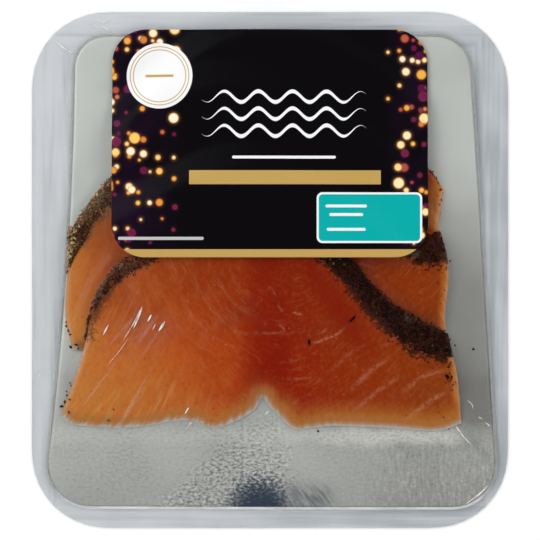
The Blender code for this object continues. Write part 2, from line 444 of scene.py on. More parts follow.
def salmon_material():
    made = Shader("salmon", roughness=0.38, specular=0.06, Subsurface_Weight=0.1, Subsurface_Scale=0.0012,
                  Subsurface_Radius=(1, 0.35, 0.15))
    where, x, y = made.place()
    span, cloud, vector, paint = made.span, made.cloud, made.vector, made.paint
    fields = ("grain", "fan", "skin", "edge", "crust", "fat", "deep")
    grain, fan, skin, edge, crust, fat, deep = map(made.value, fields)
    blotch = cloud(where, 0.09, 3)
    made.tone = made.ramp(made.get("MapRange", x + (blotch - 0.5) * 22, *SALMON_SPAN), SALMON_RAMP)
    paint(span(skin + (blotch - 0.5) * 30, 20, 62, 0, 0.62), DEEP)

    # Rays that run from the arch to the skin edge
    rays = cloud(vector(fan * 60, grain * 0.04), 1, 3, 0.55)
    streaks = span(rays, 0.35, 0.65, 0.6, 1)
    yellow_low = span(x, -8, -62) * span(skin, 34, 6) * streaks * 0.85
    yellow_rim = span(edge, 9, 1) * streaks * 0.8
    yellow_foot = span(skin, 12, 2) * span(rays, 0.35, 0.65, 0.8, 1) * span(abs(x + 4), 4, 16, 0.25, 0.6)
    paint(made.most(yellow_low, yellow_rim, yellow_foot), YELLOW)

    # Thin pale threads along the grain, the painted lines, slanting streaks at the upper left, and specks
    bend = grain + cloud(where, 0.07, 2) * 7
    thread = cloud(vector(x * 0.14, bend * 0.85), 1, 3, 0.6)
    patchy = span(cloud(where, 0.16, 2), 0.36, 0.6)
    thin = span(thread, 0.5, 0.72) * patchy * span(x, 20, -10, 0.22, 0.36)
    broken = span(cloud(where, 0.24, 3), 0.47, 0.62)
    crisp = span(made.math("PINGPONG", bend + 0.4, 2.6), 0.42, 0.05) * broken * patchy * 0.2
    torn = span(cloud(where, 0.8, 2, 0.6), 0.38, 0.58, 0.2, 1)
    slant = span(cloud(vector(x * 0.62 - y * 0.3, y * 0.05), 1, 2), 0.42, 0.64)
    slanting = slant * span(x, -42, -58) * span(skin, 8, 26) * 0.32
    fine = span(rays, 0.55, 0.8) * span(x, 0, -40) * 0.12
    speck, drawn = made.cells(where, 0.28)
    dots = span(speck.outputs["Distance"], 0.16, 0.07) * made.math("LESS_THAN", drawn[0], 0.2) * 0.3
    lines = made.most(thin, crisp, slanting, fine, dots)
    paint(lines, FAT)
    paint(fat * torn * 0.85, FAT_LINE)
    mottle = cloud(vector(x * 0.62, y * 0.42), 1, 4, 0.65)
    paint(span(mottle, 0.45, 0.75, 0, 0.14), FAT)
    paint(span(mottle, 0.52, 0.28, 0, 0.2), DEEP)
    patches = cloud(vector(x * 0.2, y * 0.13), 1, 3, 0.6)
    at_left = span(x, 10, -20)
    paint(span(patches, 0.5, 0.7) * at_left * 0.16, FAT)
    paint(span(patches, 0.48, 0.3) * at_left * 0.14, DEEP)

    # Deep red down the middle, beside the right crust and under the label
    column = span(abs(x - (blotch * 12 - 8)), 12, 2) * span(skin, 3, 9) * 0.62
    beside = span(abs(y * 0.8 + x - 15), 13, 0) * span(x, 48, 28) * span(x, 7, 18) * 0.7
    upper = span(abs(x), 45, 10) * span(y, -36, -8) * 0.22
    paint(made.most(column, beside, upper), RED)
    paint(deep, ROSE)

    # The skin edge is a duller yellow, combed with pale strokes at the left, and milky at its very end
    paint(span(rays, 0.48, 0.7) * span(skin, 20, 4) * span(x, -18, -46) * 0.5, COMB)
    ragged = skin + (rays - 0.5) * -5 * span(x, 30, -40, 0.35, 1)
    paint(span(ragged, 7, 1.6, 0, 0.85), DULL)
    paint(span(edge, 2.6, 0.3, 0, 0.5), PALE_EDGE)
    paint(span(ragged, 2.6, 0.8, 0, 0.75), PALE_EDGE)
    paint(span(ragged, 1.2, 0.2, 0, 0.95), MILKY)

    # The crust is dark at the right, browner and thinner at the left, and olive at the outer left
    speckle = cloud(where, 0.9, 3, 0.65)
    leftness = span(x, -20, -42)
    covered = span(crust + (speckle - 0.5) * 1.3, 0.12, 0.38) * span(x, -20, -42, 1, 0.8)
    outer = span(x, -58, -64) * span(y - x, 68, 74)
    base = made.mix(leftness, CRUST_BASE, CRUST_BROWN)
    between = made.mix(outer, made.mix(leftness, CRUST_WET, CRUST_PALE), CRUST_OLIVE)
    paint(covered, made.mix(span(speckle, 0.42, 0.62), base, between))
    made.bump(lines * -0.5 + cloud(where, 0.8, 3) * 0.6, 0.08, 0.3)
    return made.finished()


def crumb_material(name, dark, light, light_left=None):
    made = Shader(name, roughness=0.6, specular=0.05)
    where, x, _ = made.place()
    if light_left:
        light = made.mix(made.span(x, -20, -42), light, light_left)
    made.tone = made.mix(made.span(made.cloud(where, 1.6, 2), 0.35, 0.65), dark, light)
    made.bump(made.cloud(where, 6, 2), 0.08, 0.5)
    return made.finished()


def board_material():
    made = Shader("silver_foil", roughness=0.45, metallic=0.35, specular=0.4)
    where, x, y = made.place()
    span, cloud, vector, paint = made.span, made.cloud, made.vector, made.paint
    grain = cloud(vector(x * 0.68, y * 1.05), 1, 4, 0.72)
    hair = cloud(vector(x * 0.85, y * 0.2), 1, 4, 0.7)
    # Painted reflection: the silver is painted dimmer at the right, over the lower part and along the bottom
    # edge
    right = span(x, 40, 80) * span(y, 45, -20) * span(y, -66, -52)
    lower = span(y, -30, -62)
    painted_dim_reflection = right * 0.8 + (lower * 0.36 + lower * span(x, 10, 60) * 0.24) + span(y, -72, -90) * 0.14
    made.tone = made.mix(painted_dim_reflection, (0.74, 0.775, 0.735), (0.285, 0.28, 0.265))

    # The embossed grain shows most in a fan below the notch, and as faint upright hairs at its right. Its
    # relief is a bump; the glints and shade on it, and a broad uneven sheen all over, are painted as pale and
    # dark tones
    from_left = x - (y * 1.1 + 58.7)
    from_right = x + (cloud(where, 0.16, 3) - 0.5) * 18 + (y + 72) ** 2 / 60
    pitted = span(from_left, -13, 6) * span(from_right, 14, 4) * span(y, -52, -58)
    haired = span(x, 18, 56) * span(y, -62, -68)
    rough = made.most(pitted * span(y, -54, -86, 0.65, 1.15), span(y, -40, -66) * 0.3)
    light = (grain - 0.5) * rough * 1.5 + (hair - 0.5) * haired * 0.62 + (cloud(where, 0.03, 2) - 0.5) * 0.25
    paint(span(light, 0, 0.34), (0.9, 0.9, 0.85))
    paint(span(light, 0.03, -0.24, 0, 0.9), (0.17, 0.165, 0.15))

    # A paler strip under the right half of the front slice
    hang = span(abs(y + (cloud(where, 0.09, 3) * 7 + 60.7)), 5.2, 0.6)
    strip = hang * span(x, -5, 44, 0.3, 1) * span(x, 79, 68) * span(grain, 0.35, 0.6, 0.45, 1)
    paint(strip * 0.75, (0.93, 0.92, 0.86))

    # A dim bluish patch at the lower edge, broken up by the grain, and slanting strokes at its right: a
    # painted reflection of dark surroundings
    ring = ((x + 4) / 13) ** 2 + ((y + 94) / 14) ** 2 + (grain - 0.5) * span(y, -92, -80, 1.6, 3.8)
    dim = span(ring, 1.5, 0.2) * span(x, 9.5, 6)
    strokes = span(cloud(vector(x * 0.75 + y * 0.55, y * 0.16), 1, 3), 0.36, 0.62, 0.25, 1)
    beside = strokes * span(x, 4, 9) * span(x, 28, 20) * span(y, -80, -88) * 0.62
    paint(made.most(dim, beside) * 0.95, (0.022, 0.044, 0.084))
    made.bump(grain * (pitted + 0.25) + hair * haired * 0.4, 0.25, 0.8)
    return made.finished()


def film_material():
    """Clear film as a faint mirror. Where it is hazy it is milky and not a mirror."""
    made = Shader("clear_film", roughness=0.14, metallic=1, tone=(0.97, 0.98, 1))
    haze = made.value("haze")
    facing = made.add("LayerWeight", 0.25).outputs["Facing"]
    made.set(
        Alpha=made.math("ADD", made.span(facing, 0.1, 1, 0.006, 0.14), haze, True),
        Metallic=made.span(haze, 0.005, 0.05, 1, 0),
        Roughness=made.span(haze, 0, 0.2, 0.14, 0.5),
    )
    made.bump(made.cloud(made.place()[0], 0.25, 3), 0.05, 0.4)
    return made.finished()


def base_film_material():
    """The pack's margin, with painted light lighter at the left and painted streaks of sheen and shade along
    its sides.
    """
    made = Shader("base_film", roughness=0.3, specular=0.2, Alpha=0.93)
    where, x, y = made.place()
    span, cloud, vector = made.span, made.cloud, made.vector
    upright = cloud(vector(x * 0.34, y * 0.018), 1, 2)
    level = cloud(vector(x * 0.018, y * 0.42), 1, 2)
    sideways = made.math("GREATER_THAN", abs(x), abs(y) - 8)
    streak = upright * sideways + level * made.math("SUBTRACT", 1, sideways)
    # Painted light: lighter towards the left and darker towards the right
    made.tone = made.mix(span(x, 70, -80), (0.455, 0.485, 0.515), (0.61, 0.635, 0.66))
    made.paint(span(y, 88, 97, 0, 0.6), (0.7, 0.73, 0.76))
    # Painted sheen and painted shade: lighter and darker streaks along the sides, level ones at the top and
    # bottom
    made.paint(span(streak + cloud(where, 0.05, 2) * 0.5, 0.55, 0.95, 0, 0.5), (0.76, 0.79, 0.82))
    made.paint(span(streak, 0.45, 0.25, 0, 0.4), (0.42, 0.445, 0.47))
    return made.finished()


def fold_glint_material():
    """White light on the folds of the film."""
    made = Shader("film_glint", roughness=0.2, tone=(1, 0.975, 0.94))
    made.set(Alpha=made.span(made.cloud(made.place()[0], 0.4, 2), 0.3, 0.7, 0.25, 0.85))
    return made.finished()


def crease_shadow_material():
    """The painted shadow of the upper film where it bends down from the board's edge, and a painted highlight
    at the bottom.
    """
    made = Shader("crease_shade_line", roughness=0.35, specular=0.3)
    where, _, y = made.place()
    # Painted shade, turning to a painted highlight along the bottom edge
    made.tone = made.mix(made.span(y, -84, -90), (0.42, 0.44, 0.43), (0.92, 0.92, 0.92))
    made.set(Alpha=made.span(made.cloud(where, 0.06, 2), 0.3, 0.7, 0.22, 0.5))
    return made.finished()


def slice_grid(shape):
    columns, rows = shape["cells"]
    across = np.linspace(0, 1, columns + 1)
    up = 0.5 - 0.5 * np.cos(np.linspace(0, np.pi, rows + 1))
    up = 0.5 * up + 0.5 * np.linspace(0, 1, rows + 1)
    low, high = shape["skin"], shape["crust"]
    left, right = [
        spline((low[end], *shape[side], high[end]), up) for side, end in (("left", 0), ("right", -1))
    ]
    return patch(spline(low, across), spline(high, across), left, right)


def height_over(points, laid, reach, run, relief=0):
    """The height at which something lies that is draped over the board and these slices."""
    shares = [
        smooth((depth(points, outline, min(1, (reach + run) / (reach + ramp))) + reach + run) / run)
        for outline, ramp in laid
    ]
    if not shares:
        return np.full(len(points), SLICE_LOW)
    return SLICE_LOW + LAYER * sum(shares) + relief * np.maximum.reduce(shares)


SLICE_RUN = 6
EDGE_ROUND = 1.8
SLICE_EDGE = 0.7
SETTLE = 0.25
SKIN_TAPER = 6
CRUST_RELIEF = 0.45
GRAIN_MIDDLE = 5
BOWL = 41
BOWL_LEFT = 44
BOWL_RIGHT = 17
FAN_TOP = 48


# Pale lines in the flesh of the front slice: X and Y of the points that each runs through, its half-width
# and its strength
FAT_LINES = (
    ((29.9, -47.9, 37.3, -40.4, 42.8, -36.1, 48, -33), 1, 0.34),
    ((31, -56, 40.4, -47.8, 45.9, -43.9, 52, -40), 1, 0.3),
    ((50.3, -48.5, 57.5, -42.4, 62.2, -40, 69.2, -38.6), 0.9, 0.4),
    ((50.6, -60.1, 60.2, -52.1, 69.2, -46.8), 1, 0.46), ((22, -40.5, 30, -33, 39, -27.5), 0.9, 0.18),
    ((42, -31, 50, -25, 57.5, -22), 0.9, 0.2), ((-1.6, -7.8, 0, -6.8, 1.2, -8.2, 2.7, -10.5), 0.42, 0.75),
    ((2.9, -13.2, 3.9, -14.8, 5.1, -16.3), 0.42, 0.7), ((3.1, -20.6, 4.7, -22.2, 6.2, -24.1), 0.45, 0.8),
    ((-7.8, -24.1, -3.1, -24.4, 0.8, -24.5, 5.8, -23.7), 0.42, 0.7),
    ((-2.3, -20.2, -1.2, -21.8), 0.42, 0.6), ((8.4, -15.9, 10.5, -16.9, 12.6, -17.1), 0.42, 0.7),
    ((14.8, -28.2, 18.2, -27.9, 22.5, -26.2, 26.4, -24.5, 29.2, -21), 0.5, 0.58),
    ((18.2, -25.3, 20.2, -24.1, 22.5, -22.4), 0.45, 0.36),
    ((-15.5, -23.3, -10.5, -24.5, -3.1, -24.5), 0.42, 0.32),
    ((3.9, -42, 10.5, -42.2, 16.7, -41.6), 0.45, 0.28), ((7, -35, 10.9, -35), 0.42, 0.26),
    ((-31.1, 3.1, -27.2, -7.8, -21.4, -16.3, -13.6, -23.3, -3.1, -26.4), 0.42, 0.26),
    ((-22.5, 3.1, -19, -5.8, -14.8, -11.7, -8.9, -16.7, -3.1, -19.4), 0.42, 0.26),
    ((-16.3, 3.1, -14, -3.9, -10.1, -8.6, -5.4, -11.7), 0.4, 0.24),
    ((-36.5, -5.8, -31.9, -14.8, -26, -21.8, -17.5, -28.4, -7.8, -31.1), 0.42, 0.24),
    ((-38.9, -15.5, -34.2, -23.3, -27.2, -29.5, -17.5, -33.8), 0.42, 0.2),
    ((-26.8, 3.1, -23.2, -7, -18, -14.2, -11, -20), 0.36, 0.16), ((-3.6, -11.7, -3, -12.2), 0.6, 0.7),
    ((-5, -12.5, -4.4, -13), 0.5, 0.5), ((-32.4, -11.6, -31.4, -12.6), 0.7, 0.4),
    ((-22.3, -25.8, -21.3, -26.5), 0.7, 0.3), ((-47, -41, -45.5, -44), 0.9, 0.25),
    ((-34.5, -38, -34, -41.5), 0.8, 0.25),
)


def painted(points, lines):
    """The strongest of some soft lines at each point."""
    found = np.zeros(len(points))
    for knots, half, strength in lines:
        share = np.linspace(0, 1, 40)
        line = spline(knots, share)
        low, high = line.min(0) - 3, line.max(0) + 3
        near = np.all((points > low) & (points < high), axis=1)
        steps = norm(points[near][:, None] - line[None], axis=2)
        faded = smooth(4.5 * share * (1 - share))[steps.argmin(1)]
        off = line_distance(points[near], line)
        found[near] = np.maximum(found[near], strength * faded * smooth(1 - off / (1.6 * half)))
    return found


def build_slice(name, shape, laid, material):
    grid = slice_grid(shape)
    points = grid.reshape(-1, 2)
    x, y = points.T
    outline = rim_of(grid)[::5]
    low = height_over(points, laid, shape["reach"], SLICE_RUN)
    inward = np.maximum(depth(points, outline), 0)
    skin = line_distance(points, grid[0, ::3])
    from_left, from_right = (line_distance(points, grid[::3, column]) for column in (0, -1))
    edge = np.minimum(from_left, from_right * 2.2)
    across = np.tile(np.linspace(0, 1, grid.shape[1]), grid.shape[0])
    width = np.interp(across, *shape["crust_width"])
    from_arch = line_distance(points, grid[-1, ::3])
    crust = np.clip(1.2 - from_arch / width + 0.12 * noise(points, 1.5, 11), 0, 1)
    if name == "slice_back":
        crust *= x < 30
        edge = 0.5 * edge
    if name == "slice_middle":
        crust *= np.where(x > 40, smooth((15 - y) / 3 + 0.6 * noise(points, 1.6, 12)), 1)
        low_y, high_y, wide = SIDE_CRUST
        from_side = from_left / (wide * smooth((y - low_y) / (high_y - low_y)) + 0.01)
        crust = np.maximum(crust, np.clip(1.1 - from_side, 0, 0.42) * ((y > low_y) & (x < -60)))
    if name == "slice_front":
        crust *= 0.35 + 0.65 * smooth((y + 0.35 * x + 47) / 13)
    round_off = np.sqrt(1 - (1 - np.clip(inward / EDGE_ROUND, 0, 1)) ** 2)
    from_skin = smooth(skin / SKIN_TAPER)
    thin_edge = SLICE_EDGE * (0.3 + 0.7 * from_skin)
    thick = thin_edge + (SLICE_THICKNESS - thin_edge) * round_off * (0.25 + 0.75 * from_skin)
    thick += 0.1 * noise(points, 9, 21) + 0.05 * noise(points, 3, 22)
    thick += CRUST_RELIEF * crust * (0.6 + 0.4 * noise(points, 1.1, 23))
    aside = np.abs(x - GRAIN_MIDDLE)
    bowl = np.where(x < GRAIN_MIDDLE, BOWL_LEFT, BOWL_RIGHT)
    rise = (np.minimum(aside, bowl) ** 2 + 2 * bowl * np.maximum(aside - bowl, 0)) / BOWL
    rosy = smooth((x + 78) / 22) * smooth((y + 34) / 30) * (x < 0)
    values = {
        "skin": skin,
        "edge": edge,
        "crust": crust,
        "grain": y - rise - shape["lift"],
        "fan": (x - GRAIN_MIDDLE) / (FAN_TOP + shape["lift"] - y),
        "fat": painted(points, FAT_LINES) * (name == "slice_front"),
        "deep": 0.75 * rosy * (name == "slice_middle"),
    }
    # The slices lie on each other and on the board, and their edges come down close to what is below
    low = low - SETTLE
    high = low + thick + SETTLE * smooth(inward / 2.5)
    made = slab(name.replace("slice", "salmon"), grid, low, high, material, values)
    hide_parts(name)
    return grid, high, outline


CRUMB = np.array([(1, 0, 0), (-1, 0, 0), (0, 1, 0), (0, -1, 0), (0, 0, 1), (0, 0, -1)], float)
CRUMB_FACES = np.array([
    (0, 2, 4), (2, 1, 4), (1, 3, 4), (3, 0, 4), (2, 0, 5), (1, 2, 5), (3, 1, 5), (0, 3, 5),
])


def crumbs(name, spots, sizes, material, dice):
    """Joined crumbs, one at each spot. sizes holds three half-lengths for each."""
    count = len(spots)
    turn = unit(dice.normal(size=(count, 1, 4)))
    axis = turn[..., 1:]
    uneven = CRUMB[None] * sizes[:, None, :] * dice.uniform(0.7, 1.25, (count, 6, 1))
    aside = np.cross(axis, uneven)
    turned = (uneven + 2 * (turn[..., :1] * aside + np.cross(axis, aside))) * (1, 1, 0.7)
    points = (turned + spots[:, None, :]).reshape(-1, 3)
    faces = CRUMB_FACES[None] + np.arange(count)[:, None, None] * len(CRUMB)
    made = mesh_object(name, points, faces.reshape(-1, 3).tolist(), material)
    made.data.shade_flat()
    return points


def crust_spots(shape, grid, top, count, dice, spill=0.035):
    """Random places on a slice's crust: the share across, the share of the crust's width, and the point."""
    u = dice.uniform(0, 1, count)
    t = dice.uniform(-0.05, 1, count)
    t = np.where(dice.uniform(size=count) < spill, dice.uniform(0.95, 1.3, count), t)
    width = np.interp(u, *shape["crust_width"])
    column = (u * (grid.shape[1] - 1)).astype(int)
    heights = top.reshape(grid.shape[:2])
    last = len(grid) - 1
    spots = []
    for c, wanted in zip(column, t * width):
        reach = norm(grid[::-1, c] - grid[-1, c], axis=1)
        row = max(last - np.searchsorted(reach, max(wanted, 0)), 0)
        outward = unit(grid[-1, c] - grid[-4, c])
        spots.append((*(grid[row, c] + outward * max(-wanted, 0)), heights[row, c]))
    spots = np.array(spots)
    spots[:, :2] += dice.normal(0, 0.25, (count, 2))
    return u, t, spots


def side_spots(grid, top, count, dice):
    """Random places on the crust down the left edge of a slice, marked by a share across of -1."""
    low_y, high_y, wide = SIDE_CRUST
    rim = grid[:, 0]
    y = low_y + (high_y - low_y) * np.sqrt(dice.uniform(0, 1, count))
    t = dice.uniform(-0.04, 1, count)
    reach = wide * smooth((y - low_y) / (high_y - low_y)) * 0.95 + 0.6
    x = np.interp(y, rim[:, 1], rim[:, 0]) + t * reach
    flat = grid.reshape(-1, 2)
    near = [np.argmin((flat[:, 0] - a) ** 2 + (flat[:, 1] - b) ** 2) for a, b in zip(x, y)]
    return np.full(count, -1), t, np.column_stack([x, y, top.reshape(-1)[near]])


def tubes(name, strokes, material, flat=0.6, sides=8, taper=0.88):
    """Joined slender closed tubes. A stroke is a list of points and the radius at its thickest, and taper
    is how much thinner its ends are."""
    points, faces = [], []
    k = np.arange(sides)
    turn = k[:, None] * 2 * np.pi / sides
    upright = flat * np.sin(turn) * (0, 0, 1)
    for line, radius in strokes:
        aside = unit(np.cross(np.gradient(line, axis=0), (0, 0, 1)))
        thick = radius * (1 - taper + taper * np.sin(np.pi * np.clip(length_shares(line), 0, 1)) ** 0.8)
        first = len(points)
        for here, side, r in zip(line, aside, thick):
            points.extend(here + r * (np.cos(turn) * side + upright))
        for ring in range(first, len(points) - sides, sides):
            a, b = ring + k, ring + (k + 1) % sides
            faces.extend(np.stack([a, b, b + sides, a + sides], axis=1).tolist())
        faces.append((first + k[::-1]).tolist())
        faces.append((len(points) - sides + k).tolist())
    return mesh_object(name, points, faces, material)


# What the photo shows: its width in pixels, and the size of a pixel on the pack
PHOTO_WIDTH = 540
PIXEL = 0.3887
LENS = 250


def main_camera():
    data = bpy.data.cameras.new("camera")
    data.lens = LENS
    data.clip_end = 100
    camera = placed("camera", data)
    camera.location = (0, 0, LENS * PHOTO_WIDTH * PIXEL * MM / data.sensor_width)
    bpy.context.scene.camera = camera


def soft_light(name, place, size, power, colour=(1, 1, 1)):
    data = bpy.data.lights.new(name, "AREA")
    data.size = size
    data.energy = power
    data.color = colour
    lamp = placed(name, data)
    lamp.location = place
    lamp.rotation_euler = (-Vector(place)).to_track_quat("-Z", "Y").to_euler()


def studio():
    """Soft light from all sides, dim in reflections, two lamps and a pale floor."""
    world = bpy.data.worlds.new("studio")
    bpy.context.scene.world = world
    made = Nodes(world)
    up = made.add("SeparateXYZ", made.add("TexCoord").outputs["Generated"]).outputs[2]
    tones = ((0, 1), (0.6, 1), (0.82, 0.02), (1, 0.015))
    sky = made.ramp(up, [(place, [tone] * 3) for place, tone in tones])
    power = made.get("MapRange", made.add("LightPath").outputs["Is Glossy Ray"], 0, 1, 1.45, 0.22)
    made.fill(made.nodes["Background"], Color=sky, Strength=power)
    soft_light("key", (-0.62, 0.42, 0.8), 0.8, 3.4)
    soft_light("fill", (0.75, -0.35, 0.8), 0.5, 1.2)
    pale = Shader("floor", roughness=0.9, specular=0, tone=(0.95, 0.95, 0.95), Emission_Color=(1, 1, 1),
                  Emission_Strength=0.12)
    mesh = bpy.data.meshes.new("floor")
    far = 1.6
    mesh.from_pydata([(-far, -far, 0), (far, -far, 0), (far, far, 0), (-far, far, 0)], [], [(0, 1, 2, 3)])
    mesh.materials.append(pale.finished())
    floor = placed("floor", mesh)
    floor.location = (0, 0, -0.0002)
    bpy.context.scene.view_settings.view_transform = "Standard"


def board_sides(*cells):
    return rounded_sides(BOARD_CORNERS, BOARD_RADII, cells, BOARD_LEFT_BOW)


def board_outline(cells):
    return loop_of(board_sides(cells, cells))


def build_board(material):
    sides = board_sides(130, 140)
    grid = grid_of(sides)
    points = grid.reshape(-1, 2)
    inward = np.maximum(depth(points, loop_of(sides)[::4]), 0)
    lip = 0.25 * (1 - np.sqrt(1 - (1 - np.clip(inward / 0.6, 0, 1)) ** 2))
    ripple = 0.05 * noise(points, 14, 31) + 0.025 * noise(points, 2.2, 32) * smooth((-30 - points[:, 1]) / 20)
    high = BOARD_TOP - 0.05 - lip + ripple
    low = np.full(len(points), BOARD_LOW)
    made = slab("silver_board", grid, low, high, material, {})
    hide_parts("board")


FIELD_STEP = 0.6
FIELD_X = np.arange(-94, 94.01, FIELD_STEP)
FIELD_Y = np.arange(-102, 102.01, FIELD_STEP)
FIELD_SHAPE = (len(FIELD_Y), len(FIELD_X))
FIELD_POINTS = np.stack(np.meshgrid(FIELD_X, FIELD_Y), axis=2).reshape(-1, 2)


def field_place(points, short=0):
    """Where points lie on the field, in steps along X and along Y."""
    steps = (points[:, :2] - (FIELD_X[0], FIELD_Y[0])) / FIELD_STEP
    return np.clip(steps, 0, (len(FIELD_X) - 1 - short, len(FIELD_Y) - 1 - short)).T


def read_field(field, points):
    """Values of a field on the regular grid, read between its points."""
    place = field_place(points, 0.001)
    low = place.astype(int)
    return blended(field.T, *low, *(place - low))


def raise_field(field, points):
    """Lifts the nearest value of the field to each point that is higher."""
    i, j = field_place(points).round().astype(int)
    np.maximum.at(field, (j, i), points[:, 2])


def resting(field, line, lift=0):
    """Points laid on a field, or that much above it."""
    return np.column_stack([line, read_field(field, line) + lift])


def contents_field(slices):
    """Height of the margin, the board and the slices all over the pack."""
    on_board = depth(FIELD_POINTS, board_outline(40)) > -0.4
    field = np.where(on_board, BOARD_TOP, BASE_TOP + 0.1).reshape(FIELD_SHAPE)
    for grid, top in slices:
        sheet = np.concatenate([grid, top.reshape(grid.shape[:2])[..., None]], axis=2)
        for a in np.arange(4) / 4:
            for b in np.arange(4) / 4:
                rows = sheet[:-1] * (1 - a) + sheet[1:] * a
                raise_field(field, (rows[:, :-1] * (1 - b) + rows[:, 1:] * b).reshape(-1, 3))
    return field


def film_support(surface, loose, label_outline, laid):
    """Height of all that the upper film lies on, and where it is held there."""
    field = surface.copy()
    raise_field(field, loose)
    under_label = depth(FIELD_POINTS, label_outline).reshape(FIELD_SHAPE) > 0.3
    field[under_label] = label_height(FIELD_POINTS[under_label.reshape(-1)], laid) - 0.25
    return field, under_label | (field < BASE_TOP + 0.2)


def widest(field):
    """Each value raised to the largest of its neighbours."""
    padded = np.pad(field, 1, mode="edge")
    rows, columns = field.shape
    return np.max([padded[a:a + rows, b:b + columns] for a in range(3) for b in range(3)], axis=0)


def drape(support, fixed, rounds):
    """A film pulled tight over the support. Where fixed is true it stays on it."""
    held = widest(support)
    film = held.copy()
    for _ in range(rounds):
        padded = np.pad(film, 1, mode="edge")
        around = (padded[2:, 1:-1] + padded[:-2, 1:-1] + padded[1:-1, 2:] + padded[1:-1, :-2]) / 4
        film = np.maximum(held, around)
        film = np.where(fixed, support, film)
    return film


LABEL_REACH = 12.5
LABEL_RUN = 12
LABEL_RELIEF = 0.6
LABEL_LIFT = 0.6


def label_height(points, laid):
    return height_over(points, laid, LABEL_REACH, LABEL_RUN, LABEL_RELIEF) + LABEL_LIFT


def build_label(laid, material):
    sides = rounded_sides(LABEL_CORNERS, [LABEL_RADIUS] * 4, (120, 90))
    grid = grid_of(sides)
    low = label_height(grid.reshape(-1, 2), laid)
    made = slab("label_sheet", grid, low, low + 0.2, material, {})
    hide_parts("label")
    return loop_of(sides)[::4]


def stroke_haze(points, skin_line):
    """Milky streaks and veils in the film over the front slice."""
    x, y = points.T
    fan = (x - GRAIN_MIDDLE) / (FAN_TOP - y)
    ray = np.column_stack([fan * 60, y * 0.03])
    streak = smooth((0.6 * noise(ray, 1.6, 51) + 0.4 * noise(ray, 0.6, 54) + 0.05) / 0.9)
    side = smooth(1.3 - np.hypot((x + 61) / 24, (y + 42) / 24))
    veil = smooth(1.2 - np.hypot((x + 45) / 16, (y + 24) / 12)) * (0.4 + 0.6 * streak)
    edge = smooth(1 - line_distance(points, skin_line) / 2.6) * (0.7 + 0.3 * noise(points, 5, 53))
    return 0.06 * side * streak + 0.05 * veil + 0.02 * edge


def build_cover(film, skin_line, material):
    x, y = PACK_HALF
    sides = rounded_sides(((-x, -y), (x, -y), (x, y), (-x, y)), [PACK_CORNER] * 4, (212, 230))
    grid = grid_of(sides)
    points = grid.reshape(-1, 2)
    low = read_field(film, points) + 0.05
    low += 0.12 * (1 + noise(points, 7, 41)) * (depth(points, board_outline(40)) < -3)
    low += 0.03 * noise(points, 2.5, 42)
    haze = stroke_haze(points, skin_line[::4])
    made = slab("film_upper", grid, low, low + 0.08, material, {"haze": haze})
    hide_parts("film_cover")


# Painted glints on folds of the upper film and along the board's lower edge: X and Y of the points that each
# runs through, and its half-width
FOLD_GLINTS = (
    ((-49.3, -14, -50.7, -17.8, -52.8, -22.6), 0.44), ((-50, -15, -53, -21, -57, -27.5), 0.15),
    ((-54.6, -26, -58, -31, -63, -37), 0.09), ((-45.8, -17.2, -47.3, -20), 0.36),
    ((-40.6, -19.8, -43, -23.6), 0.48), ((-62.4, -21, -64.6, -25.2), 0.32),
    ((-44.2, -20.8, -45.4, -23.2), 0.16), ((-31.4, -53.2, -33.1, -55.9), 0.36),
    ((-30.4, -58.8, -32, -61.2), 0.2), ((-0.5, -54.8, -2, -56.2), 0.2),
    ((-66.9, 98, -64.9, 96.2, -59.9, 98.6), 0.28), ((-65.7, 94.8, -60.8, 92.1), 0.24),
    ((-70.7, 96.4, -66.9, 94.1), 0.22), ((-83.6, 89, -79.7, 85.9, -74.6, 83.2), 0.26),
    ((-91.6, -39.3, -89, -41.2), 0.3), ((71.9, -60.2, 74.6, -64, 78.2, -68), 0.3),
    ((80.8, -57, 82.6, -57.9), 0.22), ((83.6, -59.2, 85.4, -60.6), 0.26),
    ((76.6, -50.5, 78.4, -52.2, 78.8, -54), 0.16), ((75.8, -91, 81.4, -86.9, 85.1, -83.2), 0.3),
    ((-15.5, -92.2, -11.5, -92.3), 0.28), ((8.5, -92.4, 15, -92.5), 0.28),
)


CREASE_HEIGHT = 1.35
CORNER_FOLD = ((72.8, -60), (76, -62.6), (79.6, -67), (84, -72.2))
SECOND_CREASE = ((84, -32), (85.5, -50), (88, -66), (88.6, -78), (86, -86))


# Slender white tubes laid on the film: painted glints along its folds and edges
def build_fold_glints(film, material):
    even = np.linspace(0, 1, 14)
    strokes = [(resting(film, spline(knots, even), 0.1), radius) for knots, radius in FOLD_GLINTS]
    tubes("film_glints", strokes, material)


def build_crease_shadows(material):
    """Painted shadow lines where the upper film bends all round the board, and at a crease and a fold at the
    right.
    """
    board = board_outline(60)
    loop = np.concatenate([board, board[:2]])
    loop += 0.5 * unit(loop - board.mean(0))
    second = spline(SECOND_CREASE, np.linspace(0, 1, 40))
    fold = spline(CORNER_FOLD, np.linspace(0, 1, 24))
    lifted = [
        np.column_stack([line, np.full(len(line), CREASE_HEIGHT + lift)])
        for line, lift in ((loop, 0), (second, -0.3), (fold, 0.35))
    ]
    tubes("crease_shade_line", [(lifted[0], 0.5)], material, taper=0)
    strokes = [(lifted[1], 0.36), (lifted[2], 0.75)]
    tubes("crease_shade_line_right", strokes, material, flat=0.25)


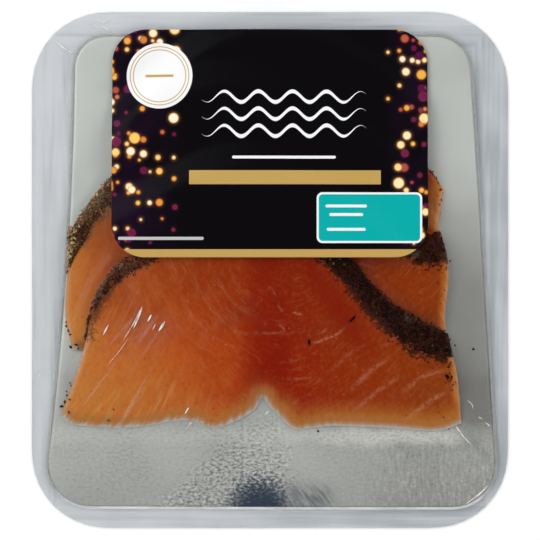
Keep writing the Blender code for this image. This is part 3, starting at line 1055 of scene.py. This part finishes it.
class Print(Shader):
    """A shader with plain printed shapes, at places in millimetres."""

    def near(self, across, up, radius, soft=0.08):
        """1 within the radius, and 0 outside it."""
        away = self.math("SQRT", across * across + up * up)
        return self.span(away, radius + soft, radius - soft)

    def disc(self, x, y, middle, radius):
        return self.near(x - middle[0], y - middle[1], radius)

    def bar(self, x, y, middle, half, radius):
        """A rectangle with round corners."""
        across, up = [
            self.most(abs(value - centre) - (reach - radius), 0)
            for value, centre, reach in zip((x, y), middle, half)
        ]
        return self.near(across, up, radius)

    def wave(self, x, y, middle, half, swing, length, thick):
        """A wavy line that thins out at both ends."""
        along_it = x - middle[0]
        rise = self.math("SINE", along_it * (2 * np.pi / length)) * swing
        ends = self.span(abs(along_it), half, half * 0.55)
        inside = ends * (thick / 2) - abs(y - middle[1] - rise)
        return self.span(inside, -0.08, 0.08) * self.math("GREATER_THAN", ends, 0.02)

    def crowding(self, x, place):
        """How thickly the lights lie: clusters down the left and right sides."""
        sides = self.most(self.span(x, -29, -56, 0, 0.66), self.span(x, 40, 60, 0, 0.66))
        return sides * self.span(self.cloud(place, 0.07, 1), 0.32, 0.62, 0.25, 1.6)

    def lights(self, place, share, cell, radius, seed):
        """Soft round dots of warm light, at random places. Each is there or not as a whole."""
        shift = (seed, seed * 1.7, 0)
        moved = self.get("VectorMath", place, shift, operation="ADD")
        node, draw = self.cells(moved, 1 / cell, voronoi_dimensions="2D")
        node.inputs["Randomness"].default_value = 0.5
        away = Signal(self, node.outputs["Distance"]) * cell
        inside = self.get("MapRange", draw[1], 0, 1, radius * 0.55, radius) - away
        middle = self.get("VectorMath", node.outputs["Position"], shift, operation="SUBTRACT")
        crowd = self.crowding(self.get("SeparateXYZ", middle), middle)
        present = self.math("LESS_THAN", draw[0], crowd * share)
        dot = self.span(inside, -0.35, 0.3) * present
        glow = self.span(inside, -1.4, 0) * present * 0.07
        rim = self.ramp(draw[2], LIGHT_RIMS)
        lit = self.mix(self.span(inside, -0.1, 0.7), rim, self.ramp(draw[2], LIGHT_TONES))
        self.paint(self.most(dot, glow), lit)


LIGHT_RIMS = (
    (0, (0.08, 0.004, 0.05)), (0.35, (0.3, 0.04, 0.05)), (0.6, (0.6, 0.18, 0.02)), (1, (0.85, 0.48, 0.16)),
)
LIGHT_TONES = (
    (0, (0.1, 0.006, 0.06)), (0.2, (0.2, 0.012, 0.07)), (0.34, (0.6, 0.15, 0.04)), (0.5, (0.9, 0.4, 0.04)),
    (0.68, (0.98, 0.62, 0.12)), (0.84, (1, 0.86, 0.48)), (1, (1, 0.97, 0.88)),
)
BLACK = (0.0035, 0.0028, 0.004)
PURPLE = (0.016, 0.004, 0.02)
WHITE = (0.93, 0.93, 0.93)
GOLD = (0.56, 0.36, 0.105)
TEAL = (0.003, 0.43, 0.42)
GOLD_BAND_TOP = 8
BADGE = ((-42.8, 75.2), 12.8)
PANEL = ((38.4, 20.2), (20.4, 9.8))


def label_material():
    made = Print("label_print", roughness=0.35, specular=0.08)
    place, x, y = made.place()
    paint = made.paint
    made.tone = made.mix(made.crowding(x, place) * made.cloud(place, 0.12, 2), BLACK, PURPLE)
    for share, cell, radius, seed in ((0.8, 4.6, 1.05, 37.3), (1, 6.3, 1.7, 11.9), (1, 8.6, 2.4, 63.1)):
        made.lights(place, share, cell, radius, seed)
    for rise in (67, 60.4, 53.8):
        paint(made.wave(x, y, (5.4, rise), 33, 2.1, 13.2, 1.5), WHITE)
    paint(made.bar(x, y, (5.4, 43.6), (20, 0.55), 0.5), WHITE)
    paint(made.bar(x, y, (5.8, 35.8), (37, 2.7), 0.1), GOLD)
    paint(made.bar(x, y, (-42.1, 12.2), (16.5, 0.6), 0.5), (0.55, 0.55, 0.55))
    paint(made.disc(x, y, *BADGE), WHITE)
    for radius in (11.6, 10.4):
        paint(made.disc(x, y, BADGE[0], radius) - made.disc(x, y, BADGE[0], radius - 0.35), GOLD)
    paint(made.bar(x, y, BADGE[0], (5.5, 0.5), 0.4), GOLD)
    middle, half = PANEL
    paint(made.bar(x, y, middle, half, 2.3), WHITE)
    paint(made.bar(x, y, middle, (half[0] - 0.8, half[1] - 0.8), 1.6), TEAL)
    for rise, reach in ((4.5, 8), (1.2, 6.5), (-4.5, 7.5)):
        paint(made.bar(x, y, (middle[0] - 9, middle[1] + rise), (reach, 0.55), 0.5), WHITE)
    paint(made.span(y, GOLD_BAND_TOP + 0.1, GOLD_BAND_TOP - 0.1), GOLD)
    return made.finished()


CRUMB_COUNTS = {"slice_back": 500, "slice_middle": 3000, "slice_front": 4700}

# The dark and light tones of each kind of crumb, and for some another light tone at the left
CRUMB_TONES = {
    "dill_dark": ((0.005, 0.002, 0.0015), (0.014, 0.005, 0.003), (0.055, 0.021, 0.01)),
    "dill_brown": ((0.03, 0.007, 0.004), (0.052, 0.014, 0.008), (0.125, 0.045, 0.022)),
    "dill_olive": ((0.032, 0.033, 0.011), (0.13, 0.125, 0.045)),
    "dill_pale": ((0.34, 0.2, 0.09), (0.58, 0.42, 0.22)),
}

# Loose bits of dill: the place, and half the length
LOOSE_BITS = (
    (70, 3.5, 0.7), (71.9, -29.3, 0.8), (78.9, -30.7, 0.8), (18.7, -62.6, 0.9), (-62.6, -58.3, 0.6),
    (-60.6, -54, 0.5), (-81.2, -53.1, 0.7), (-77.7, -43.9, 0.6), (-77.4, -29.9, 0.8), (69.5, -38.9, 0.5),
    (68.8, -42.4, 0.6), (70, -42.4, 0.6), (71.9, -43.5, 0.5), (70.4, -46.6, 0.5), (65.3, -55.2, 0.5),
    (67.2, -57.1, 0.4), (69.6, -61.8, 0.4), (64.9, -5.1, 0.6), (67.6, -7.8, 0.5), (61.8, -11.7, 0.4),
    (60.8, -17.9, 0.4), (-79.2, -20.2, 0.8), (-79, -21.8, 1), (-78.2, -23.6, 0.9), (-77.4, -25, 0.8),
    (-75.2, -29, 0.9), (-74.4, -30.4, 0.7), (-77.2, -45, 0.6), (-78.8, -48.6, 1), (-79.6, -51.2, 1.1),
    (-80.8, -52.8, 0.9), (-78, -55.2, 0.8), (68.2, -33.2, 0.6), (66.4, -34.8, 0.5), (67.4, -31.4, 0.5),
    (63, 38.1, 0.6), (64.5, 35.8, 0.7), (65.3, 33.8, 0.6), (66.1, 31.1, 0.8), (64.9, 28.8, 0.5),
    (66.5, 27.2, 0.7), (65.7, 25.3, 0.5), (62.4, 34, 0.4), (66, 22, 0.4), (69, -37.6, 0.8),
    (69.6, -40, 0.9), (68.6, -41.2, 1), (70.3, -41.4, 0.8), (69.4, -43.2, 0.7), (70.8, -44.4, 0.6),
    (67.8, -43.6, 0.5), (-77.6, -50.2, 0.7), (-79, -47.2, 0.7),
)
# Needles of dill on the front slice: the two ends
NEEDLES = (((15, -26.8), (15.4, -29.2)), ((30.6, -20.2), (33.2, -17.6)))


def build_dill(slices, surface, label_outline):
    """The crumbs of the crusts and the loose bits. Returns all their points."""
    dice = np.random.default_rng(5)
    kinds = {name: crumb_material(name, *tones) for name, tones in CRUMB_TONES.items()}
    found = {kind: [] for kind in kinds}
    for (name, shape), (grid, top) in zip(SLICES.items(), slices):
        back, middle, front = [name == key for key in SLICES]
        u, t, spots = crust_spots(shape, grid, top, CRUMB_COUNTS[name], dice)
        x, y = spots[:, 0], spots[:, 1]
        clumps = noise(spots[:, :2], 1.7, 61) + 0.5 * noise(spots[:, :2], 0.8, 62)
        thinner = np.where(u < 0.35, 0.75 - 2.2 * u, 0) * front
        rim = smooth((np.abs(t - 0.47) - 0.36) / 0.3)
        seen = (depth(spots[:, :2], label_outline) < 2) & (clumps > -0.95 + 0.7 * rim + thinner)
        seen &= ~((x > 48) & (y > 0) & (clumps < -0.35)) & (not back or clumps > 0.2)
        if middle:
            seen &= (x < 40) | (y < 13.8 + 1.2 * noise(spots[:, :2], 2, 63))
        u, t, spots = u[seen], t[seen], spots[seen]
        draw = dice.uniform(size=len(spots))
        if middle:
            more = side_spots(grid, top, 520, dice)
            u, t, spots = [np.concatenate(pair) for pair in zip((u, t, spots), more)]
            draw = np.append(draw, dice.uniform(size=len(more[0])))
        olive_side = smooth((0.45 - u) / 0.2) * smooth((0.9 - t) / 0.4) * middle
        pale = 0.002 + 0.14 * olive_side * smooth((0.35 - t) / 0.25)
        pale += 0.42 * (u < 0) * smooth((0.6 - t) / 0.3)
        olive = pale + 0.03 + 0.62 * olive_side * (1 - 0.4 * (u < 0))
        brown = olive + (0.16 + 0.62 * smooth((0.5 - u) / 0.2)) * (1 - olive)
        kind = np.select([draw < pale, draw < olive, draw < brown], [3, 2, 1], 0)
        for index, key in enumerate(kinds):
            found[key].append(spots[kind == index])
    everything = []
    for key, material in kinds.items():
        spots = np.concatenate(found[key])
        length = dice.uniform(0.32, 0.95, len(spots)) * (1.35 if key == "dill_pale" else 1)
        if key == "dill_dark":
            bits = np.array(LOOSE_BITS)
            spots = np.concatenate([spots, resting(surface, bits[:, :2])])
            length = np.concatenate([length, bits[:, 2] * 1.3])
        sizes = np.column_stack([length, length * dice.uniform(0.3, 0.6, len(spots)), length * 0.35])
        spots[:, 2] += dice.uniform(-0.05, 0.25, len(spots))
        everything.append(crumbs(key, spots, sizes, material, dice))
    even = np.linspace(0, 1, 6)
    strokes = [(resting(surface, along(ends, even), 0.2), 0.42) for ends in NEEDLES]
    tubes("dill_needles", strokes, kinds["dill_dark"])
    return np.concatenate(everything)


def main():
    studio()
    main_camera()
    salmon = salmon_material()
    slices, laid = [], []
    for name, shape in SLICES.items():
        grid, top, outline = build_slice(name, shape, laid, salmon)
        slices.append((grid, top))
        laid.append((outline, shape["ramp"]))
    build_board(board_material())
    label_outline = build_label(laid, label_material())
    surface = contents_field(slices)
    loose = build_dill(slices, surface, label_outline)
    support, fixed = film_support(surface, loose, label_outline, laid)
    film = drape(support, fixed, 40)
    build_cover(film, slices[-1][0][0], film_material())
    build_fold_glints(film, fold_glint_material())
    build_crease_shadows(crease_shadow_material())
    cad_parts["film_base"].material_slots[0].material = base_film_material()


main()
